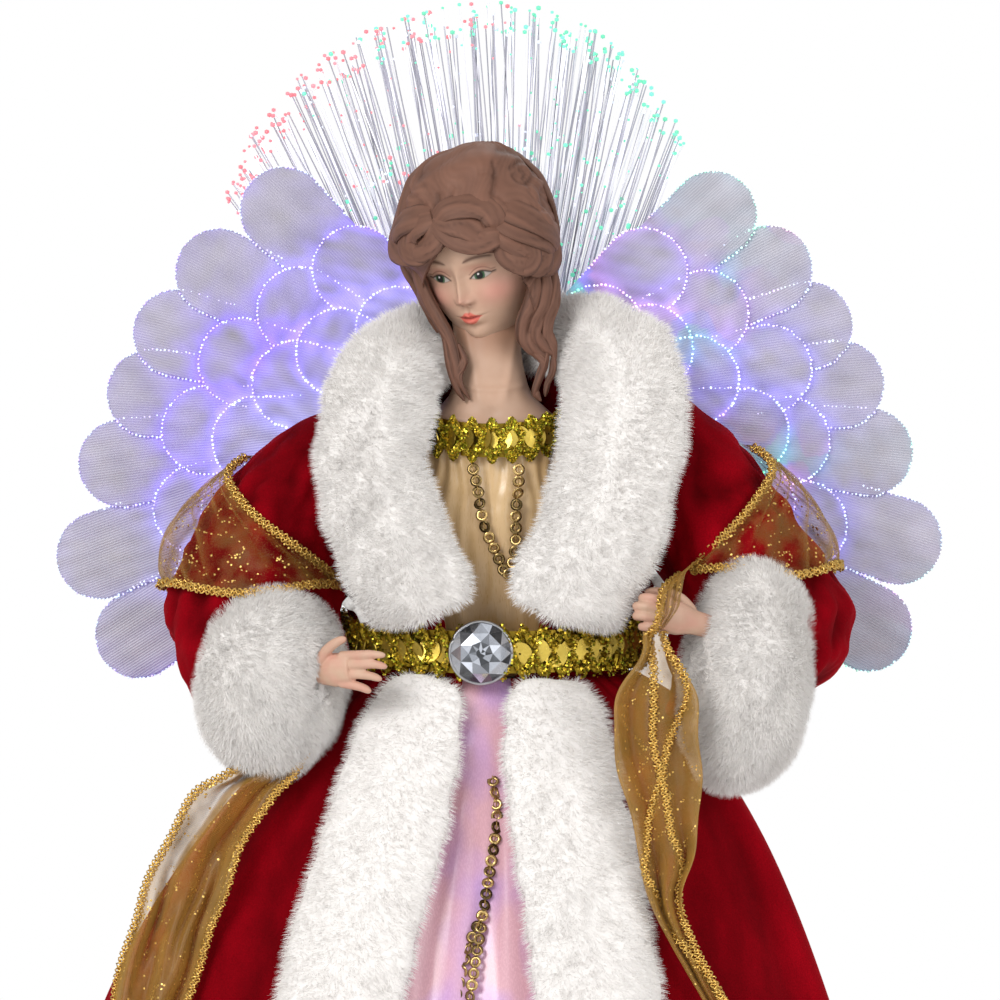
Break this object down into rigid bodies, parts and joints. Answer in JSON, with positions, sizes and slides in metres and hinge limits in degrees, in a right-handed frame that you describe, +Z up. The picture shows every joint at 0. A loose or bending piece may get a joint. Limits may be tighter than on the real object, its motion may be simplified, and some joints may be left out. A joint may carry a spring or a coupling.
{
  "type": "fibre optic angel",
  "caption": "Table-top angel with lit fibre optic wings and halo, fur-trimmed velvet robe over a satin skirt, posable arms and a battery base.",
  "frame": {"origin": "centre of the ring that the base stands on", "axes": "+Z up, -Y the way the angel faces, +X to the right as seen from the front"},
  "size_m": [0.2681, 0.1658, 0.4045],
  "materials": {
    "housing": "satin moulded plastic",
    "cover": "satin moulded plastic",
    "switch": "matte",
    "board": "solder resist",
    "cell": null,
    "contact": "nickel plated",
    "screw": "zinc plated",
    "wire": "bare wire",
    "lamp": "clear epoxy",
    "trunk": "bundled clear fibre",
    "halo": "clear fibre with lit tips",
    "feather": "woven clear fibre, lit",
    "clamp": "satin moulded plastic",
    "card": "rolled board",
    "foam": "foam",
    "head": "painted casting",
    "hand": "painted casting",
    "velvet": "deep red pile",
    "fur": "short white pile",
    "gold_satin": "satin weave",
    "pink_satin": "satin weave",
    "braid": "metallic braid with sequins",
    "jewel": "faceted, mirror backed",
    "sequins": "metallised rings",
    "organza": "sheer weave with glitter"
  },
  "bodies": {
    "figure": {"base_housing": "housing", "base_lid": "housing", "switch_body": "switch", "circuit_board": "board", "battery_cell_1": "cell", "battery_cell_2": "cell", "battery_cell_3": "cell", "front_contact_strip": "contact", "rear_contact_strip": "contact", "left_wing_lamp": "lamp", "halo_lamp": "lamp", "right_wing_lamp": "lamp", "support_cone": "card", "waist_block": "foam", "torso_core": "foam", "head_and_bust": "head", "underskirt": "pink_satin", "robe_skirt": "velvet", "left_front_trim": "fur", "right_front_trim": "fur", "satin_bodice": "gold_satin", "robe_bodice": "velvet", "left_collar": "fur", "right_collar": "fur", "neckline_braid": "braid", "waist_braid": "braid", "belt_jewel": "jewel", "bodice_sequins": "sequins", "skirt_sequins": "sequins", "left_wing_trunk": "trunk", "halo_trunk": "trunk", "right_wing_trunk": "trunk", "wing_bracket": "clamp", "wing_clamp_plate": "clamp", "fibre_halo": "halo", "lower_clamp_screw": "screw", "upper_clamp_screw": "screw", "left_wing_inner_feathers": "feather", "left_wing_middle_feathers": "feather", "left_wing_outer_feathers": "feather", "right_wing_inner_feathers": "feather", "right_wing_middle_feathers": "feather", "right_wing_outer_feathers": "feather"},
    "left_arm": {"left_sleeve": "velvet", "left_cuff": "fur", "left_hand": "hand", "left_arm_wire": "wire", "left_shawl_wrap": "organza", "left_shawl_tail": "organza"},
    "right_arm": {"right_sleeve": "velvet", "right_cuff": "fur", "right_hand": "hand", "right_arm_wire": "wire", "right_shawl_wrap": "organza", "right_shawl_tail": "organza"},
    "battery_cover": {"battery_cover": "cover"},
    "power_switch": {"switch_knob": "switch"}
  },
  "joints": [
    {"name": "left_arm_lift", "type": "hinge", "parent": "figure", "child": "left_arm", "pos_m": [-0.051, 0, 0.262], "axis": [0, 1, 0], "range_deg": [0, 25]},
    {"name": "right_arm_lift", "type": "hinge", "parent": "figure", "child": "right_arm", "pos_m": [0.051, 0, 0.269], "axis": [0, -1, 0], "range_deg": [0, 25]},
    {"name": "battery_cover_slide", "type": "slide", "parent": "figure", "child": "battery_cover", "axis": [0, 1, 0], "range_m": [0, 0.03]},
    {"name": "power_switch_slide", "type": "slide", "parent": "figure", "child": "power_switch", "axis": [0, 1, 0], "range_m": [0, 0.005]}
  ]
}
